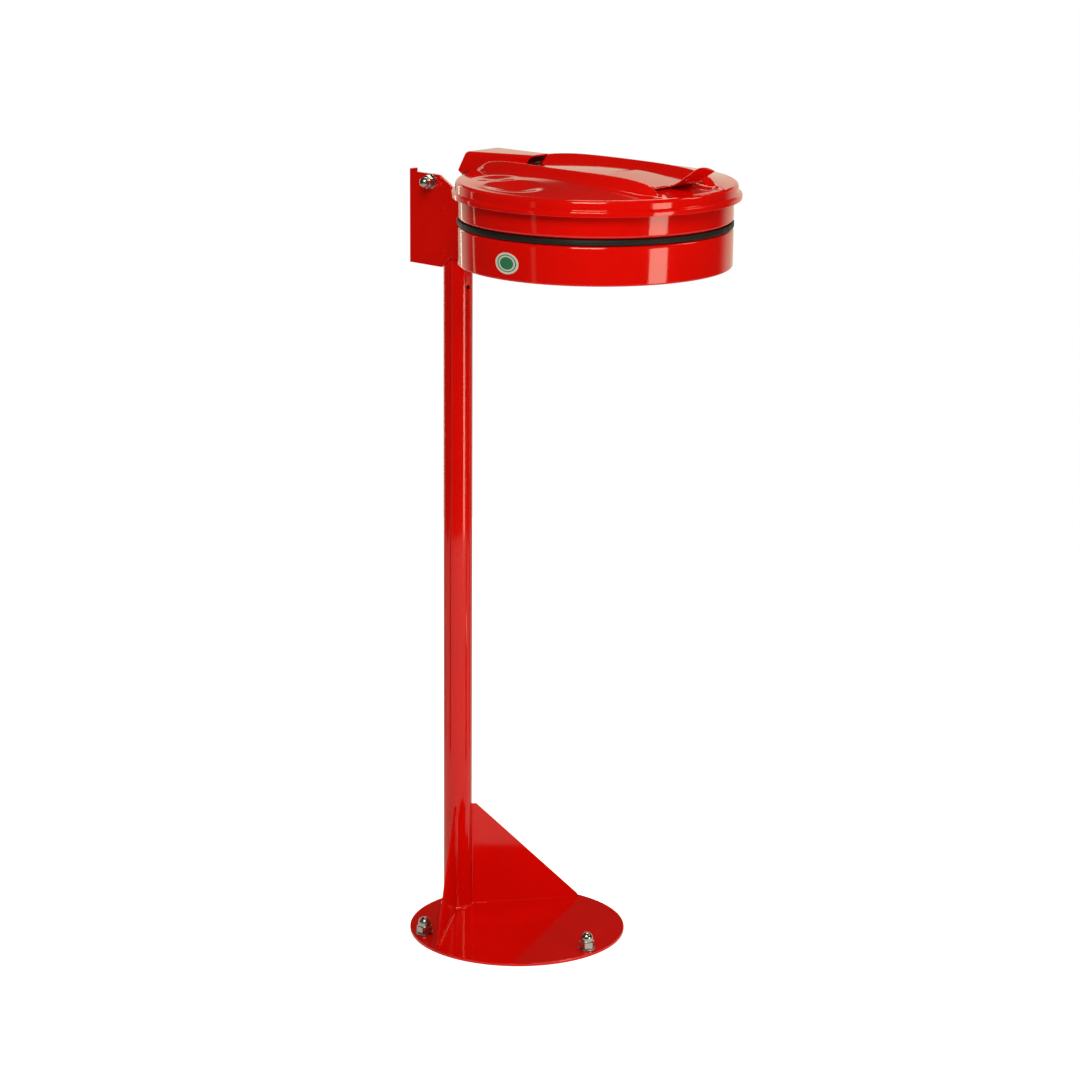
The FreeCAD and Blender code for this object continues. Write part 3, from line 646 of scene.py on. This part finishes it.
def make_strap():
    """The elastic strap: a rounded band with two fine moulded lines along it."""
    low, high = strap_low.z, strap_high.z
    inner, outer = groove_radius + 0.3, strap_high.x
    third = (high - low) / 3
    groove, half_groove = 0.25, 0.3
    outline = [(inner, low, 0.4), (outer, low, 2.0), (outer, low + third - half_groove, 0),
               (outer - groove, low + third, 0), (outer, low + third + half_groove, 0),
               (outer, high - third - half_groove, 0), (outer - groove, high - third, 0),
               (outer, high - third + half_groove, 0), (outer, high, 2.0), (inner, high, 0.4)]
    verts, faces = lathe(rounded(outline, 5), RING, 256)
    piece("strap_band", verts, faces, "stand", "black_rubber", replaced=["elastic_strap"], sharp=50)


# ---- sticker

sticker_half_width = 19.0


def curved_oval(name, inner, outer, lift, material, replaced=()):
    """A thin oval band round the bag ring's side, from inner to outer as shares of the sticker's size."""
    middle = centre_of("oval_sticker") / MM
    low, high = millimetres("oval_sticker")
    facing = math.atan2(middle.y - RING.y, middle.x - RING.x)
    verts, faces = [], []
    segments, rings = 72, 6
    thickness = 0.12
    radii = [inner + (outer - inner) * k / rings for k in range(rings + 1)]
    rows = [(r, lift) for r in radii] + [(r, lift - thickness) for r in reversed(radii)]
    for radius, height in rows:
        for i in range(segments):
            angle = 2 * math.pi * i / segments
            turn = facing + radius * sticker_half_width * math.cos(angle) / ring_radius
            level = middle.z + radius * (high.z - low.z) / 2 * math.sin(angle)
            verts.append(Vector((RING.x + (ring_radius + height) * math.cos(turn),
                                 RING.y + (ring_radius + height) * math.sin(turn), level)) * MM)
    for k in range(len(rows)):
        m = (k + 1) % len(rows)
        for i in range(segments):
            j = (i + 1) % segments
            faces.append((k * segments + i, k * segments + j, m * segments + j, m * segments + i))
    piece(name, verts, faces, "stand", "sticker_film", material, replaced)


def make_sticker():
    curved_oval("sticker_film", 0.004, 1.0, 0.20, "sticker_film", ["oval_sticker"])
    curved_oval("sticker_spot", 0.004, 0.58, 0.26, "sticker_ink")
    curved_oval("sticker_circle", 0.72, 0.81, 0.26, "sticker_ink")


# ---- cap nuts

anchor_count = 3
anchor_circle = 134.0
anchor_nut = (19.0, 10.0, 22.0)     # across flats, the hexagon's height, the whole height
fixing_nut = (16.0, 8.0, 18.0)


def cap_nut(name, seat, axis, flats, hexagon_height, total, replaced):
    """A cap nut with chamfered corners, a collar, a dome and a small flat ring under its hexagon."""
    segments = 96
    collar = flats / 2 - 0.8
    straight = total - collar - hexagon_height
    chamfer = math.tan(math.radians(30))
    rows = []
    for k in range(13):
        height = hexagon_height * k / 12
        edge = min(height, hexagon_height - height)
        rows.append(("hexagon", height, flats / 2 * 0.97 + edge / chamfer))
    rows.append(("round", hexagon_height, collar + 0.35))
    rows.append(("round", hexagon_height + 0.4, collar))
    rows.append(("round", hexagon_height + straight, collar))
    for k in range(1, 12):
        angle = math.pi / 2 * k / 12
        height = hexagon_height + straight + collar * math.sin(angle)
        rows.append(("round", height, collar * math.cos(angle)))
    turn = axis.to_track_quat("Z", "Y").to_matrix()
    verts = [seat + turn @ Vector((0, 0, 0))]
    for kind, height, radius in rows:
        for i in range(segments):
            angle = 2 * math.pi * i / segments
            away = radius
            if kind == "hexagon":
                off = (angle + math.pi / 6) % (math.pi / 3) - math.pi / 6
                away = min(radius, flats / 2 / math.cos(off))
            point = Vector((away * math.cos(angle), away * math.sin(angle), height))
            verts.append(seat + turn @ (point * MM))
    verts.append(seat + turn @ Vector((0, 0, total * MM)))
    last = len(verts) - 1
    faces = []
    for i in range(segments):
        j = (i + 1) % segments
        faces.append((0, 1 + j, 1 + i))
        for row in range(len(rows) - 1):
            a, b = 1 + row * segments, 1 + (row + 1) * segments
            faces.append((a + i, a + j, b + j, b + i))
        a = 1 + (len(rows) - 1) * segments
        faces.append((a + i, a + j, last))
    piece(name, verts, faces, "stand", "zinc_steel", replaced=replaced, sharp=28)


def make_cap_nuts():
    seat_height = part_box("anchor_washers")[1].z
    for i in range(anchor_count):
        angle = 2 * math.pi * i / anchor_count - math.pi / 2
        seat = Vector((anchor_circle * math.cos(angle) * MM, anchor_circle * math.sin(angle) * MM,
                       seat_height))
        stands_for = ["anchor_dome_nuts"] if i == 0 else []
        cap_nut("anchor_cap_nut_%d" % (i + 1), seat, UP, *anchor_nut, stands_for)
    low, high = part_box("fixing_bolt_dome_nut")
    seat = Vector((high.x, (low.y + high.y) / 2, (low.z + high.z) / 2))
    cap_nut("fixing_cap_nut", seat, Vector((-1, 0, 0)), *fixing_nut, ["fixing_bolt_dome_nut"])


# ---- welds

gusset_angle = math.radians(54.0)
gusset_thickness, gusset_reach, gusset_top = 3.0, 174.0, 153.0
gusset_weld_leg = 2.2
pole_weld_leg = 4.0


def make_pole_weld():
    """The rippled bead round the pole's foot."""
    base_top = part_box("base_plate")[1].z / MM
    pole_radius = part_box("pole_tube")[1].x / MM
    leg = pole_weld_leg
    face = [(pole_radius + leg * math.sin(a), base_top + leg * math.cos(a) - leg * 0.12 * math.sin(2 * a))
            for a in (math.pi / 2 * k / 6 for k in range(7))]
    outline = [(pole_radius - 0.3, base_top - 0.2)] + face
    verts, faces = lathe(outline, POLE, 240,
                         lambda angle, k: 0.22 * abs(math.sin(angle * 30)) * math.sin(math.pi * k / 7))
    piece("pole_foot_bead", verts, faces, "stand", "red_powder_coat", replaced=["pole_foot_weld"], sharp=50)


def bead(name, start, end, one, other, leg):
    """A rippled fillet weld along an inner corner, between the ways one and other."""
    length = (end - start).length
    count = max(int(length / 0.9), 4)
    verts, faces = [], []
    turns = 6
    for i in range(count + 1):
        share = i / count
        ripple = 0.16 * abs(math.sin(math.pi * share * length / 3.2))
        size = leg * min(1.0, 6 * share + 0.35, 6 * (1 - share) + 0.35)
        middle = start + (end - start) * share
        row = [middle - (one + other) * 0.3]
        for k in range(turns + 1):
            angle = math.pi / 2 * k / turns
            away = size * (0.86 + 0.14 * abs(math.cos(2 * angle))) + ripple * math.sin(2 * angle)
            row.append(middle + (one * math.cos(angle) + other * math.sin(angle)) * away)
        verts += [point * MM for point in row]
    columns = turns + 2
    for i in range(count):
        for k in range(columns):
            m = (k + 1) % columns
            faces.append((i * columns + k, i * columns + m, (i + 1) * columns + m, (i + 1) * columns + k))
    faces.append(tuple(range(columns)))
    faces.append(tuple(count * columns + k for k in reversed(range(columns))))
    piece(name, verts, faces, "stand", "red_powder_coat", sharp=50)


def make_gusset_welds():
    base_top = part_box("base_plate")[1].z / MM
    pole_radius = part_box("pole_tube")[1].x / MM
    pole_foot = Vector((POLE.x, POLE.y, base_top))
    for hand, name in ((1, "right"), (-1, "left")):
        turn = hand * gusset_angle
        out = Vector((math.sin(turn), -math.cos(turn), 0))
        for way in (1, -1):
            across = Vector((out.y, -out.x, 0)) * way
            side = across * gusset_thickness / 2
            mark = "outer" if way * hand > 0 else "inner"
            bead("gusset_foot_bead_%s_%s" % (name, mark), pole_foot + out * (pole_radius + 6) + side,
                 pole_foot + out * (gusset_reach - 3) + side, UP, across, gusset_weld_leg)
            sink = pole_radius - math.sqrt(pole_radius ** 2 - (gusset_thickness / 2) ** 2)
            corner = pole_foot + out * (pole_radius - sink) + side
            bead("gusset_pole_bead_%s_%s" % (name, mark), corner + UP * 6,
                 corner + UP * (gusset_top - base_top - 3), out, across, gusset_weld_leg)


# ---- CAD pieces that stay

# How wide each piece's softened edges are, in millimetres.
plain_edges = {
    "base_plate": 0.6, "gusset_right": 0.5, "gusset_left": 0.5, "bracket_side_plate": 0.6,
    "bracket_far_plate": 0.6, "bracket_web": 0.5, "anchor_washers": 0.3,
    "pole_bolt_washers": 0.3, "fixing_bolt_washers": 0.3,
    "fixing_bolt": 0.3, "pole_bolts": 0.3, "pole_end_cap": 0.6, "hood_plug": 0.8, "hood_rivets": 0.5,
    "hinge_pin": 0.5, "pin_retainers": 0.3, "hinge_bushes": 0.3, "lid_buffers": 0.4, "strap_ferrule": 0.3,
    "pole_tube": 0.3,
}


def dress_cad():
    """Give each CAD node that stays its material and softly rounded edges."""
    slots = {part["node"]: part["material_slot"] for part in frame["record"]["subparts"]}
    for name, obj in frame["nodes"].items():
        for slot in obj.material_slots:
            slot.material = materials[slots[name]]
        if name not in plain_edges:
            continue
        weld = obj.modifiers.new("weld", "WELD")
        weld.merge_threshold = 0.00001
        edges = obj.modifiers.new("edges", "BEVEL")
        edges.width = plain_edges[name] * MM
        edges.segments = 2
        edges.limit_method = "ANGLE"
        edges.angle_limit = math.radians(40)
        edges.use_clamp_overlap = True


make_camera()
make_studio()
materials = make_materials()
make_lid()
make_hood()
make_handle()
make_ring()
make_strap()
make_sticker()
make_cap_nuts()
make_pole_weld()
make_gusset_welds()
dress_cad()
